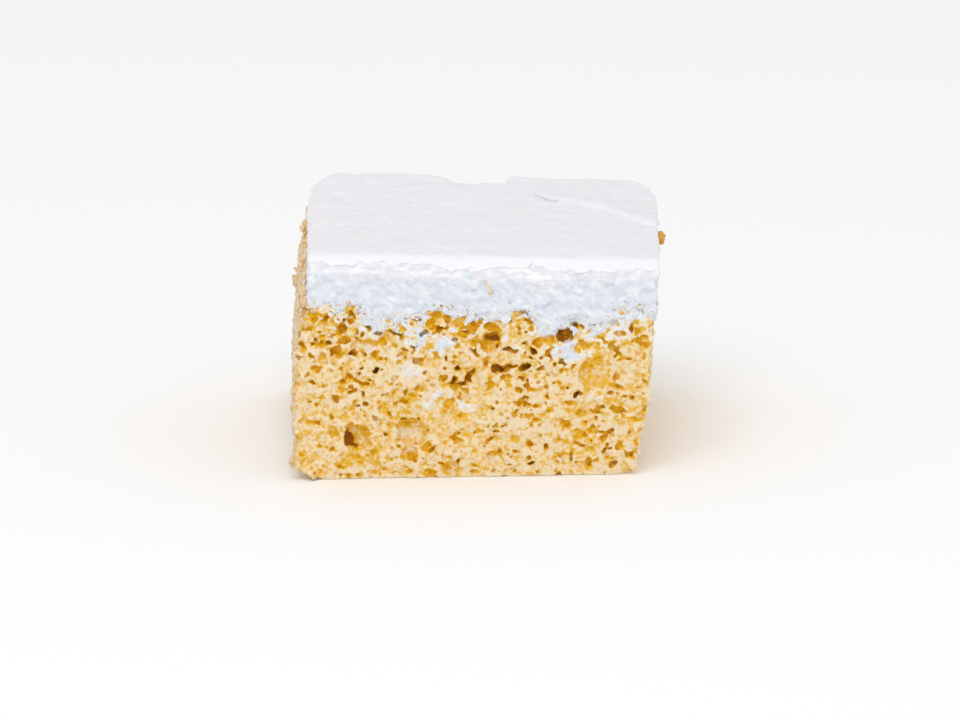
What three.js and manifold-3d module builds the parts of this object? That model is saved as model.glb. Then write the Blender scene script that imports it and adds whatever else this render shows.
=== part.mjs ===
// One cut square of tres leches cake: a block of milk-soaked sponge, pitted by air bubbles on
// its four cut faces, under a thick layer of whipped cream that was smoothed with a spatula.
// Millimetres, +Z up, the front cut faces -Y, and the origin is the middle of the flat base.
import * as THREE from "three";
import { ImprovedNoise } from "three/addons/math/ImprovedNoise.js";
import { mergeVertices } from "three/addons/utils/BufferGeometryUtils.js";
import Module from "manifold-3d";

// Overall form
const SPONGE_HEIGHT = 38.5; // mean level where the sponge ends
const TOP_LEVEL = 50.4; // mean level of the smoothed cream
const TOP_TILT = -0.035; // the cream gets thinner towards +X
const FRONT = -36.6; // y of the front cut
const BACK = 36.2; // y of the back cut in the middle
const BACK_SKEW = -0.022; // the back cut isn't quite parallel to the front one
const JOINT_GAP = 0.3; // between the sponge and the cream laid on it

// Edges of the sponge seen from the front, as [z, x]: both side cuts lean to +X
const LEFT_EDGE = [[0, -34.9], [2.9, -41.0], [15, -41.3], [27, -40.6], [42, -38.8]];
const RIGHT_EDGE = [[0, 34.2], [8, 36.4], [14.5, 38.3], [25.6, 39.2], [36.6, 40.5], [42, 41.0]];

// Sides of the cream
const CREAM_LEFT = -37.4;
const CREAM_RIGHT = 41.4;
const CREAM_LEAN = 0.5; // how far its left side runs in towards the top
const CREAM_FLARE = 0.9; // how far its right side runs out towards the top
const CREAM_SINK = 3; // how far the cream is drawn into the sponge before it is cut to fit
const CREAM_TUCK = 1.6; // how far its sides run in at that depth
const TUCK_SHARE = 0.28; // share of the cream's side over which they run in

// Front bevel of the cream, left by the knife
const BEVEL_RUN = 4.6;
const BEVEL_DROP = 4.2;
const BEVEL_ROUND = 1.5; // exponent: 1 is a flat chamfer
const LIP = 0.6; // how far the bevel's foot stands proud of the cut
const LIP_SHARE = 0.5; // upper share of the cream's side over which the lip swells
const BEVEL_CROWDING = 0.35; // rows of the mesh are drawn towards the bevel by this much

// Back edge of the cream: a torn notch, and corners that fall away
const NOTCH_X = 2.7;
const NOTCH_FLAT = 4.7; // half width of its floor
const NOTCH_MOUTH = 8.3; // half width at the edge
const NOTCH_DEPTH = 5.5;
const NOTCH_DROP = 0.6;
const NOTCH_SLOPE = 0.8; // share of the cream's side over which the notch deepens
const CORNERS = [
  { side: -1, reach: 9, drop: 3.0, cut: 4.2 },
  { side: 1, reach: 7, drop: 1.6, cut: 3.2 },
];
const CORNER_START = 0.8; // share of the depth where the corners start to be cut in

// A torn flap of cream over the back right corner, stepping up along a slanting line of points
// [x, distance behind the front]
const FLAP_LINE = [[13, 60], [17, 52], [23, 51], [29.5, 46], [34.5, 39], [42, 31]];
const FLAP_STEP = 0.8;
const FLAP_EDGE = 1.5; // width of the step
const FLAP_START = 4; // distance from the line's first point over which the step rises
const FLAP_FADE = 16; // it runs back into the smooth top over this distance

// Where the cream runs down into the sponge: tongues along the cut faces
const LEFT_RISE = 3.0; // the sponge stands higher along its left side
const LEFT_RISE_WIDTH = 11;
const JOINT_WAVES = [
  { height: 0.7, kx: 0.36, ky: 0.1, phase: 1.0 },
  { height: 0.5, kx: 0.6, ky: -0.5, phase: 0.0 },
  { height: 0.4, kx: -0.12, ky: 0.45, phase: 2.1 },
];
const TONGUES = [
  { x: -21.9, y: FRONT, depth: 3.4, radius: 3.6 },
  { x: 16.6, y: FRONT, depth: 5.0, radius: 4.6 },
  { x: 26.8, y: FRONT, depth: 5.2, radius: 3.6 },
  { x: -12.0, y: BACK, depth: 4.0, radius: 4.5 },
  { x: 22.0, y: BACK, depth: 3.0, radius: 5.0 },
  { x: -39.0, y: 8.0, depth: 3.2, radius: 4.5 },
  { x: 41.0, y: -14.0, depth: 3.6, radius: 4.0 },
  { x: 41.0, y: 15.0, depth: 4.2, radius: 4.4 },
];

// Air bubbles that the front cut opened, the large ones first: centre, radii and depth of centre
const FRONT_BUBBLES = [
  { x: -27.0, z: 9.4, across: 2.9, tall: 3.3, sink: 0.6 },
  { x: -14.9, z: 9.8, across: 3.4, tall: 3.5, sink: 0.7 },
  { x: -15.3, z: 5.6, across: 2.6, tall: 2.5, sink: 0.3 },
  { x: 26.2, z: 22.6, across: 3.0, tall: 3.4, sink: -1.2 },
  { x: 20.2, z: 32.4, across: 2.4, tall: 2.2, sink: 0.8 },
  { x: 3.2, z: 31.2, across: 2.5, tall: 2.8, sink: 0.2 },
  { x: -22.4, z: 1.9, across: 2.4, tall: 2.3, sink: -0.6 },
  { x: -6.2, z: 2.3, across: 2.4, tall: 2.2, sink: -0.4 },
  { x: -25.2, z: 31.0, across: 2.9, tall: 1.9, sink: -0.4 },
  { x: -31.8, z: 29.6, across: 2.3, tall: 2.0, sink: 0.0 },
  { x: -31.9, z: 10.4, across: 1.5, tall: 1.9, sink: 0.5 },
  { x: -3.2, z: 22.6, across: 3.0, tall: 1.3, sink: 0.6 },
  { x: 8.0, z: 25.6, across: 3.6, tall: 1.1, sink: 0.6 },
  { x: 14.6, z: 25.4, across: 2.4, tall: 1.1, sink: 0.6 },
];

// Smaller bubbles, scattered evenly over all four cuts
const PIT_SPACING = 7.6;
const PIT_RADIUS = [0.9, 1.9];
const PIT_WIDTH = 1.15; // a pit's width as a share of its height
const PIT_MARGIN = 3.2; // kept clear of the base, the cream and the upright edges
const PIT_JITTER = 0.6; // share of its cell over which a pit is scattered
const PIT_CLEARANCE = 0.6; // between a small pit and a large bubble
const PIT_SEED = 20;

// Crags of the torn crumb and strokes on the cream
const CRAG = 0.55;
const CRAG_SIZE = 5.5;
const STROKE = 0.22;
const STROKE_SIZE = [26, 5.2]; // long across, short from front to back

// Fineness of the meshes
const SPONGE_CELLS = [24, 18, 11];
const CREAM_CELLS = [26, 20, 5];

const wasm = await Module();
wasm.setup();
const noise = new ImprovedNoise();
const sum = (numbers) => numbers.reduce((total, n) => total + n, 0);
const clamp01 = (t) => Math.min(1, Math.max(0, t));
const smooth = (t) => clamp01(t) ** 2 * (3 - 2 * clamp01(t));

// Straight interpolation in a short list of [at, value] points
function along(points, at) {
  const next = points.findIndex(([a]) => a > at);
  if (next === 0) return points[0][1];
  if (next < 0) return points[points.length - 1][1];
  const [[a0, v0], [a1, v1]] = [points[next - 1], points[next]];
  return v0 + ((v1 - v0) * (at - a0)) / (a1 - a0);
}

// A repeatable draw of numbers from 0 to 1 (mulberry32)
function draws(seed) {
  let state = seed;
  return () => {
    state = (state + 0x6d2b79f5) | 0;
    let t = Math.imul(state ^ (state >>> 15), 1 | state);
    t = (t + Math.imul(t ^ (t >>> 7), 61 | t)) ^ t;
    return ((t ^ (t >>> 14)) >>> 0) / 4294967296;
  };
}

const backAt = (x) => BACK + BACK_SKEW * x;

// Level where the sponge ends and the cream starts
function jointLevel(x, y) {
  const rise = LEFT_RISE * Math.exp(-(((x - CREAM_LEFT) / LEFT_RISE_WIDTH) ** 2));
  const waves = JOINT_WAVES.map((wave) => wave.height * Math.sin(wave.kx * x + wave.ky * y + wave.phase));
  const tongues = TONGUES.map(
    (t) => -t.depth * Math.exp(-((x - t.x) ** 2 + (y - t.y) ** 2) / t.radius ** 2),
  );
  return sum([SPONGE_HEIGHT, rise, ...waves, ...tongues]);
}

// How far the notch in the back edge reaches in, from 0 to 1
const notchAt = (x) => 1 - smooth((Math.abs(x - NOTCH_X) - NOTCH_FLAT) / (NOTCH_MOUTH - NOTCH_FLAT));

// Share of a back corner's fall at a place, from 0 to 1
function cornerFall(corner, x, y) {
  const sideways = corner.side < 0 ? x - CREAM_LEFT : CREAM_RIGHT - x;
  const inward = (backAt(x) - y) / 2;
  return smooth(1 - (sideways + inward) / corner.reach);
}

// Level of the smoothed top of the cream
function creamTop(x, y) {
  const fromFront = y - FRONT;
  const bevel = BEVEL_DROP * clamp01(1 - fromFront / BEVEL_RUN) ** BEVEL_ROUND;
  const behindFlap = fromFront - along(FLAP_LINE, x);
  const onFlap = smooth((x - FLAP_LINE[0][0]) / FLAP_START) * smooth(behindFlap / FLAP_EDGE + 0.5);
  const flap = FLAP_STEP * onFlap * clamp01(1 - behindFlap / FLAP_FADE);
  const strokes = STROKE * noise.noise(x / STROKE_SIZE[0], y / STROKE_SIZE[1], 0.5);
  const notch = NOTCH_DROP * notchAt(x) * smooth(1 - (backAt(x) - y) / (2 * NOTCH_DEPTH));
  const corners = sum(CORNERS.map((corner) => corner.drop * cornerFall(corner, x, y)));
  return TOP_LEVEL + TOP_TILT * x + flap + strokes - bevel - notch - corners;
}

// A closed lattice of a box: place() moves each point from its share (u, v, w) of the box
function lattice([nx, ny, nz], place) {
  const box = new THREE.BoxGeometry(1, 1, 1, nx, ny, nz);
  box.deleteAttribute("normal");
  box.deleteAttribute("uv");
  const geometry = mergeVertices(box);
  const position = geometry.getAttribute("position");
  const share = new THREE.Vector3();
  for (let i = 0; i < position.count; i++) {
    share.fromBufferAttribute(position, i).addScalar(0.5);
    position.setXYZ(i, ...place(share.x, share.y, share.z));
  }
  return geometry;
}

// Outward push of a point on a side wall, or 0 inside the box
const outward = (t) => (t < 1e-6 ? -1 : t > 1 - 1e-6 ? 1 : 0);

function spongePoint(u, v, w) {
  const level = w * SPONGE_HEIGHT;
  const left = along(LEFT_EDGE, level);
  const x = left + u * (along(RIGHT_EDGE, level) - left);
  const y = FRONT + v * (backAt(x) - FRONT);
  const crag = CRAG * noise.noise(x / CRAG_SIZE, y / CRAG_SIZE, level / CRAG_SIZE);
  return [x + outward(u) * crag, y + outward(v) * crag, w * jointLevel(x, y)];
}

function creamPoint(u, v, w) {
  const tuck = CREAM_TUCK * clamp01(1 - w / TUCK_SHARE);
  const cut = (corner) => corner.cut * smooth((v - CORNER_START) / (1 - CORNER_START));
  const left = CREAM_LEFT + tuck + CREAM_LEAN * w + cut(CORNERS[0]);
  const right = CREAM_RIGHT - tuck - CREAM_FLARE * (1 - w) - cut(CORNERS[1]);
  const x = left + u * (right - left);
  const lip = LIP * smooth((w - LIP_SHARE) / (1 - LIP_SHARE));
  const front = FRONT + tuck - lip;
  const back = backAt(x) - tuck - NOTCH_DEPTH * notchAt(x) * smooth(w / NOTCH_SLOPE);
  const y = front + (v - BEVEL_CROWDING * v * (1 - v)) * (back - front);
  const foot = jointLevel(x, y) - CREAM_SINK;
  return [x, y, foot + w * (creamTop(x, y) - foot)];
}

function solidOf(geometry) {
  const vertProperties = geometry.getAttribute("position").array;
  const triVerts = new Uint32Array(geometry.index.array);
  return new wasm.Manifold(new wasm.Mesh({ numProp: 3, vertProperties, triVerts }));
}

function geometryOf(solid) {
  const { vertProperties, triVerts } = solid.getMesh();
  const geometry = new THREE.BufferGeometry();
  geometry.setAttribute("position", new THREE.BufferAttribute(new Float32Array(vertProperties), 3));
  geometry.setIndex(new THREE.BufferAttribute(new Uint32Array(triVerts), 1));
  return geometry;
}

// An air bubble as an egg-shaped solid of few sides
function bubble(centre, radii, detail, turn) {
  const ball = new THREE.IcosahedronGeometry(1, detail);
  ball.deleteAttribute("normal");
  ball.deleteAttribute("uv");
  ball.rotateY(turn).scale(...radii).translate(...centre);
  return solidOf(mergeVertices(ball));
}

// The large bubbles that the front cut opened
function frontBubbles() {
  return FRONT_BUBBLES.map((b, i) => {
    const deep = (b.across + b.tall) / 2;
    return bubble([b.x, FRONT + b.sink, b.z], [b.across, deep, b.tall], 1, i);
  });
}

// Pits on a cut face, one in each cell of an even grid: how far along the face, how high and how large
function scattered(length, height, random) {
  const [wide, tall] = [length - 2 * PIT_MARGIN, height - 2 * PIT_MARGIN];
  const [columns, rows] = [Math.floor(wide / PIT_SPACING), Math.floor(tall / PIT_SPACING)];
  const jitter = () => 0.5 + PIT_JITTER * (random() - 0.5);
  const cells = [...Array(columns * rows).keys()];
  return cells.map((i) => ({
    s: PIT_MARGIN + ((i % columns) + jitter()) * (wide / columns),
    z: PIT_MARGIN + (Math.floor(i / columns) + jitter()) * (tall / rows),
    radius: PIT_RADIUS[0] + (PIT_RADIUS[1] - PIT_RADIUS[0]) * random() ** 2,
    turn: random() * Math.PI,
  }));
}

// Whether a small pit on the front is clear of the large bubbles there
function clearOfBubbles(x, pit) {
  return FRONT_BUBBLES.every((b) => {
    const reach = pit.radius + Math.max(b.across, b.tall) + PIT_CLEARANCE;
    return Math.hypot(x - b.x, pit.z - b.z) > reach;
  });
}

function smallPits() {
  const random = draws(PIT_SEED);
  const ellipsoid = (x, y, pit) => {
    const wide = PIT_WIDTH * pit.radius;
    return bubble([x, y, pit.z], [wide, wide, pit.radius], 0, pit.turn);
  };
  const width = RIGHT_EDGE[0][1] - LEFT_EDGE[0][1];
  const front = scattered(width, SPONGE_HEIGHT, random)
    .map((pit) => ({ x: LEFT_EDGE[0][1] + pit.s, pit }))
    .filter(({ x, pit }) => clearOfBubbles(x, pit))
    .map(({ x, pit }) => ellipsoid(x, FRONT, pit));
  const back = scattered(width, SPONGE_HEIGHT, random).map((pit) => {
    const x = LEFT_EDGE[0][1] + pit.s;
    return ellipsoid(x, backAt(x), pit);
  });
  const sides = [LEFT_EDGE, RIGHT_EDGE].flatMap((edge) =>
    scattered(BACK - FRONT, SPONGE_HEIGHT, random).map((pit) =>
      ellipsoid(along(edge, pit.z), FRONT + pit.s, pit),
    ),
  );
  return [...front, ...back, ...sides];
}

const block = lattice(SPONGE_CELLS, spongePoint);
const bubbles = [...frontBubbles(), ...smallPits()];
const pitted = bubbles.reduce((solid, b) => solid.subtract(b), solidOf(block));
const bed = solidOf(block.clone().translate(0, 0, JOINT_GAP));
const topping = solidOf(lattice(CREAM_CELLS, creamPoint)).subtract(bed);

const spongeLook = new THREE.MeshStandardMaterial({ color: 0xe9c583, roughness: 0.85, metalness: 0 });
const creamLook = new THREE.MeshStandardMaterial({ color: 0xf1f0f3, roughness: 0.5, metalness: 0 });

const sponge = new THREE.Mesh(geometryOf(pitted), spongeLook);
sponge.name = "sponge";
const cream = new THREE.Mesh(geometryOf(topping), creamLook);
cream.name = "cream";

const cake = new THREE.Group();
cake.add(sponge, cream);
export default cake;
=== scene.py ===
"""A cut square of tres leches cake: milk-soaked sponge full of air bubbles under whipped cream.

Both pieces are fields of signed distance on one grid of small cubes, in millimetres, and each is
meshed where its field is zero. The outline is the CAD part's. The crumb, the pits, the layers of the
cream and the smears are finer forms on it.
"""
import math

import bmesh
import bpy
import numpy as np
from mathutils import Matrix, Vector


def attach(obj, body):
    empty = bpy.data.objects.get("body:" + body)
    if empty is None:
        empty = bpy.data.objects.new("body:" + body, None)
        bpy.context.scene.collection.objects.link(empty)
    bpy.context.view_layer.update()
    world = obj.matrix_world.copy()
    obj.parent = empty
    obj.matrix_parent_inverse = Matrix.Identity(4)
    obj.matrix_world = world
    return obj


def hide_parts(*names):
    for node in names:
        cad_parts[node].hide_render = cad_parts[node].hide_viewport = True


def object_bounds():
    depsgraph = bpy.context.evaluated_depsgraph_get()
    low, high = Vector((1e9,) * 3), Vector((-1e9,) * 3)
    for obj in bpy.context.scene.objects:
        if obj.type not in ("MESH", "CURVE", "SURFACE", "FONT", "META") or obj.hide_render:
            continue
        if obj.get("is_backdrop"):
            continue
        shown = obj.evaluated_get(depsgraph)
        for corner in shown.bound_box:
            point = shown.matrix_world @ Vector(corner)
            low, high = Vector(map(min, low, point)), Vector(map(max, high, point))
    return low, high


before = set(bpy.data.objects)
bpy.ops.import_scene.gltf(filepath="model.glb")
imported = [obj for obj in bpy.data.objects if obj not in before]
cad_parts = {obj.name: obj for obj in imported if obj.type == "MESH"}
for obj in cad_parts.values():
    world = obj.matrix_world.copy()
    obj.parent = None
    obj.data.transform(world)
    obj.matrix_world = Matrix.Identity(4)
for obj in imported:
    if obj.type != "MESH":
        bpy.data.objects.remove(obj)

import openvdb
from mathutils import Matrix, Vector

cad_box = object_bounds()
scene = bpy.context.scene

METRES = 0.001  # in a millimetre
MILLIMETRES = 1000  # in a metre

# The form, in millimetres
SPONGE_HEIGHT = 38.5
TOP_LEVEL = 50.4
TOP_TILT = -0.035  # slope of the cream's top along x
FRONT = -36.6
BACK = 36.2
BACK_SKEW = -0.022  # slant of the back cut
LEFT_EDGE = [(0, -34.9), (2.9, -41.0), (15, -41.3), (27, -40.4), (42, -38.2)]  # level and place
RIGHT_EDGE = [(0, 34.2), (8, 36.4), (14.5, 38.3), (25.6, 39.2), (36.6, 40.5), (42, 41.0)]
CREAM_LEFT = -37.4
CREAM_RIGHT = 41.4
CREAM_LEAN = 0.5  # of the left side, inwards
CREAM_FLARE = 0.9  # of the right side, outwards
BEVEL_RUN = 4.6  # of the cream's front
BEVEL_DROP = 4.2
BEVEL_ROUND = 1.4
NOTCH_X = 2.7  # middle of the torn notch in the cream's back edge
NOTCH_FLAT = 4.7
NOTCH_MOUTHS = (9.6, 6.6)  # to the left and right
NOTCH_DEPTH = 5.5
NOTCH_DROP = 0.6
CORNERS = [(-1, 7, 2.6, 3.6), (1, 7, 1.6, 3.2)]  # of the cream's back: side, reach, drop, cut
CORNER_START = 0.8  # share of the depth where they start
FLAP_LINE = [(13, 60), (17, 52), (23, 51), (29.5, 46), (34.5, 39), (42, 31)]  # x, depth behind the front
FLAP_STEP = 0.8
FLAP_EDGE = 0.7
FLAP_START = 4
FLAP_FADE = 16
LEFT_RISE = 3.0  # of the joint towards the left side
LEFT_RISE_WIDTH = 11
CRUST_RISE = 3.4  # of the torn crust at the left edge, towards the back
CRUST_X = -37.5
CRUST_WIDTH = 1.2
CRUST_FALL = 7.0  # length of its fall at the back
JOINT_WAVES = [(0.7, 0.36, 0.1, 1.0), (0.5, 0.6, -0.5, 0.0), (0.4, -0.12, 0.45, 2.1)]
TONGUES = [  # where the cream reaches down: x, y, depth, radius
    (-21.9, FRONT, 3.4, 3.6), (16.6, FRONT, 5.0, 4.6), (26.8, FRONT, 5.2, 3.6),
    (-12.0, BACK, 4.0, 4.5), (22.0, BACK, 3.0, 5.0),
    (-39.0, 8.0, 3.2, 4.5), (41.0, -14.0, 3.6, 4.0), (41.0, 15.0, 4.2, 4.4),
]
# The front's large bubbles: x, z, half width, half height, depth of centre, stain and painted shade, angle
# of the side in painted shade, floor paled as painted light
FRONT_BUBBLES = [
    (-27.1, 9.8, 2.7, 3.2, 0.6, 1.1, 200, 0.15), (-31.9, 10.9, 1.0, 1.4, 0.3, 0.6, 0, 0.0),
    (-14.8, 10.6, 3.5, 3.3, 0.7, 0.4, 90, 0.7), (-15.1, 5.7, 2.0, 1.9, 0.2, 0.5, 270, 0.2),
    (-23.1, 1.8, 2.2, 2.2, -0.5, 0.2, 60, 0.5), (-6.2, 2.0, 2.2, 1.9, -0.2, 0.5, 170, 0.2),
    (26.3, 23.4, 3.6, 4.4, -1.7, 0.5, 90, 0.1), (-25.3, 31.1, 2.6, 1.6, -0.3, 0.1, 90, 0.6),
    (3.6, 4.4, 1.8, 1.7, -0.4, 0.7, 80, 0.5), (3.4, 31.0, 2.1, 2.6, 0.2, 0.3, 90, 0.0),
]
# The front's pits: x, z, half width, half height, stain and painted shade
FRONT_PITS = [
    (-4.2, 22.0, 1.0, 0.8, 1.1), (-2.8, 22.0, 0.9, 0.7, 1.1), (-1.7, 23.0, 0.9, 0.9, 1.1),
    (-1.1, 24.0, 0.7, 0.8, 0.9), (-5.5, 22.8, 0.5, 0.8, 0.9), (-4.2, 25.2, 0.6, 0.6, 0.9),
    (-2.4, 20.2, 0.8, 0.4, 0.4), (5.0, 25.3, 1.2, 0.9, 1.1), (7.4, 25.4, 1.3, 0.6, 0.8),
    (11.0, 25.4, 1.3, 0.9, 1.0), (3.6, 32.2, 1.7, 1.2, 0.8), (4.7, 30.4, 0.6, 0.8, 0.9),
    (0.4, 28.1, 0.7, 0.8, 0.4), (2.4, 26.8, 1.0, 0.9, 0.2), (-6.6, 27.8, 0.4, 0.9, 0.3),
    (-7.6, 34.6, 0.8, 0.6, 0.9), (-9.8, 36.0, 0.6, 0.9, 0.3), (-8.6, 37.8, 1.0, 0.7, 0.4),
    (-5.6, 36.4, 0.8, 0.9, 0.3), (-3.8, 35.8, 0.7, 0.7, 0.4), (-2.6, 37.2, 1.1, 0.9, 0.2),
    (-0.6, 37.4, 0.9, 0.8, 0.2), (-0.4, 35.0, 0.8, 1.0, 0.3), (-11.6, 33.4, 1.2, 1.0, 0.3),
    (-12.8, 37.0, 0.9, 0.7, 0.4), (4.4, 36.6, 0.7, 0.9, 0.4), (7.4, 35.9, 1.0, 0.9, 0.4),
    (12.5, 36.3, 0.7, 1.0, 0.5), (9.8, 34.2, 0.5, 0.7, 0.3), (10.6, 30.8, 0.8, 0.6, 0.2),
    (12.7, 29.0, 0.6, 0.5, 1.0), (8.2, 29.2, 0.7, 0.7, 0.3), (-13.2, 27.1, 1.5, 0.8, 0.1),
    (1.8, 22.8, 0.6, 1.1, 0.1), (14.2, 24.9, 0.8, 0.9, 0.5), (20.0, 32.5, 2.0, 1.9, 1.0),
    (22.0, 34.7, 1.0, 1.0, 1.0), (24.2, 34.5, 1.1, 0.7, 1.0), (30.6, 35.2, 1.2, 0.7, 0.5),
    (33.2, 36.7, 1.9, 0.8, 0.8), (30.8, 29.8, 1.4, 1.0, 0.2), (24.7, 30.2, 1.0, 0.5, 0.3),
    (19.4, 26.2, 1.2, 0.9, 0.4), (31.4, 22.7, 1.2, 1.0, 0.3), (29.9, 18.8, 1.1, 0.9, 0.1),
    (22.0, 18.8, 0.5, 0.9, 0.9), (23.2, 19.0, 0.8, 0.8, 0.1), (34.2, 18.0, 1.3, 0.9, 0.1),
    (35.3, 33.8, 0.6, 1.0, 0.3), (32.3, 32.9, 1.0, 0.8, 0.3), (27.8, 15.8, 1.3, 0.7, 0.4),
    (23.6, 14.2, 0.8, 1.0, 0.3), (26.0, 10.0, 1.1, 0.9, 0.4), (27.8, 9.8, 1.0, 0.4, 0.4),
    (30.0, 10.2, 0.9, 1.1, 0.3), (23.2, 7.0, 1.2, 0.7, 0.3), (18.0, 8.6, 0.8, 0.6, 0.5),
    (24.8, 2.2, 1.0, 1.0, 0.4), (30.6, 2.6, 1.4, 0.9, 0.3), (15.3, 6.8, 0.9, 1.0, 0.1),
    (12.0, 2.9, 0.9, 0.6, 1.0), (11.4, 4.6, 0.8, 0.7, 0.1), (8.6, 8.8, 0.9, 0.7, 0.2),
    (3.8, 10.2, 0.9, 0.6, 0.4), (-5.0, 8.8, 1.3, 0.8, 0.4), (-10.0, 6.4, 1.0, 0.8, 0.2),
    (-4.6, 3.6, 0.6, 0.7, 0.5), (11.2, 18.2, 0.8, 0.7, 0.4), (-33.1, 37.2, 1.0, 0.7, 0.4),
    (-30.4, 39.3, 1.4, 0.9, 0.4), (-27.8, 37.3, 0.9, 1.5, 0.3), (-23.9, 35.7, 1.0, 1.2, 0.5),
    (-29.4, 32.1, 1.4, 0.9, 0.3), (-31.3, 29.9, 1.5, 1.1, 0.3), (-27.3, 29.1, 1.0, 0.7, 0.9),
    (-22.5, 25.1, 0.8, 0.9, 1.0), (-28.2, 23.6, 0.8, 1.0, 0.1), (-28.2, 20.1, 0.8, 0.7, 0.3),
    (-25.6, 19.8, 0.7, 0.9, 0.3), (-31.4, 19.1, 1.5, 0.7, 0.3), (-17.2, 33.8, 2.0, 1.0, 0.4),
    (-17.7, 36.2, 0.9, 0.6, 0.5), (-14.0, 30.6, 1.2, 0.5, 0.5), (-15.8, 20.2, 0.7, 0.8, 0.4),
    (-16.0, 13.9, 0.9, 0.6, 1.2), (-13.9, 13.2, 1.0, 0.5, 1.1), (-11.9, 11.0, 0.8, 0.6, 1.1),
    (-18.2, 11.6, 0.6, 0.7, 0.3), (-20.8, 1.9, 0.7, 0.7, 0.5), (-22.6, 14.4, 1.1, 0.8, 0.1),
    (26.6, 23.9, 0.5, 0.4, 0.4), (25.6, 22.9, 0.4, 0.5, 0.4),
]

# The grid and the meshes
VOXEL = 0.25
LOW = np.array([-44.0, -40.0, -1.8])
HIGH = np.array([45.0, 40.0, 54.0])
SHAPE = tuple(int(n) for n in np.ceil((HIGH - LOW) / VOXEL))
FAR = 4.0  # fields are cut off at this distance
NOISE_GAIN = 1.44  # by axis, as the spline evens it out
SPONGE_TRIANGLES = 700000  # in all four of its pieces
CREAM_TRIANGLES = 190000
SMALLEST_SMEAR = 40  # in points of its mesh

# The four cuts in the order front, back, left, right: about their lengths, and the way in
CUT_LENGTHS = (80.0, 80.0, 73.0, 73.0)
INWARD = np.array([(0, 1, 0), (0, -1, 0), (1, 0, 0), (-1, 0, 0)])
CUT_REACH = 4.0  # depth of the uneven crumb
BASE = 0.3  # level up to which it reaches

# Air bubbles that the cuts opened: number for each square millimetre, radii and levels
BUBBLE_KINDS = [
    (0.2, (0.22, 0.4), (-0.3, 40)), (0.032, (0.35, 0.7), (-0.3, 40)), (0.003, (0.8, 1.2), (-0.3, 40)),
    (0.05, (0.5, 1.1), (29, 39.5)),
]
BUBBLE_DEPTHS = (-0.55, 0.75)  # of their centres behind the cut, in radii
BUBBLE_STRETCH = (0.85, 1.4)  # along x and y
BUBBLE_FLATNESS = 0.8  # height as a share of width
RADIUS_SKEW = 1.6  # over 1 for more small ones
LOWEST_SHARE = 0.5  # of those low down that are kept
THIN_LEVELS = (10, 26)  # between which it grows to all
WARP = [(1.3, 0.34), (0.65, 0.22)]  # what bends the bubbles: size, strength
WARP_MOST = 3  # times its strength
FULL_WARP = 0.8  # radius from which the warp is full
LARGE_WARP = 0.5  # share for the front's large bubbles
LARGE_DEPTH = 0.65  # of those, as a share of their size
CLEAR_DEPTH = 4  # behind the front, without other bubbles
CLEAR_SHARE = 0.94  # least distance, by both sizes
AIR_MARGIN = 0.5
AIR_STOP = 0.5  # sponge left under the cream
BUBBLE_ROUND = 0.25

# The front's pits
PIT_WARP = 0.75
PIT_SINK = 0.3  # depth of their centres
PIT_LEAST = 0.5  # depth, and more by their size
PIT_SHARE = 0.6
LOW_PITS = 25.0  # those below this level are a little smaller
LOW_PIT_SIZE = 0.85

# Stains and painted shade: a pit's in millimetres, those of the large bubbles in shares of their size
SHADE_AND_STAIN_REACH = 0.45
SHADE_AND_STAIN_DEPTH = 5  # behind the front
SHADE_AND_STAIN_WOBBLE = [((1.2, 1.0, 1.2), 0.16), ((0.5, 1.0, 0.5), 0.1)]
SHADE_FADE = 0.4
RIM_SHARE = 0.5
RIM_PLACE = 0.88
RIM_WIDTH = 0.14
RIM_END = 1.05
RIM_FADE = 0.15
FLOOR_END = 0.9
FLOOR_FADE = 0.3

# Ragged pits: grain along x, y and z and weight of the noise, which pits where it is over a limit
CARVE_NOISE = [((1.35, 1.35, 1.0), 0.9), ((0.8, 0.8, 0.65), 0.75), ((0.5, 0.5, 0.4), 0.55)]
CARVE_LIMITS = (1.3, 0.5)  # at the base and under the cream
CARVE_LEVELS = (25.0, 34.0)  # between which the limit changes
CARVE_SLOPE = 0.75  # depth by how far it is over
CARVE_DEPTH = 0.85  # at most
CARVE_START = 0.9  # below the cream, where they are full

# The sponge's other unevenness: size and height of each
CRUMB = [(6.0, 0.2), (1.7, 0.1), (0.85, 0.08), (0.5, 0.08)]  # on the cuts
GRAIN = [(0.55, 0.06)]  # in bubbles too
JOINT_RAGGED = [(2.2, 0.8), (1.1, 0.5), (0.6, 0.3)]  # on its top
JOINT_LIMITS = (-2, 0.9)
TOP_ROUND = 0.4
EDGE_ROUND = 0.8
EDGE_REACH = 2.5  # of an upright edge
EDGE_RAGGED = 0.4
EDGE_GRAIN = [(2.0, 1.0), (0.9, 0.7)]

# Crumbs that stand out along the top of the left side
SHOULDER_LUMPS = 18
SHOULDER_X = -37.8
SHOULDER_SPAN = (3, 69)  # behind the front
SHOULDER_LEVEL = 39.0
SHOULDER_RISE = 4.0
LUMP_SCATTER = (0.4, 2, 0.8)
LUMP_RADII = (0.5, 0.9)
LUMP_WARP = 0.8
LARGER_LUMPS = [(16.7, 44.0, 1.0), (-6.4, 42.6, 1.1), (-27.4, 41.0, 0.7)]  # y, z, radius
LARGER_LUMP_X = -38.6

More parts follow.
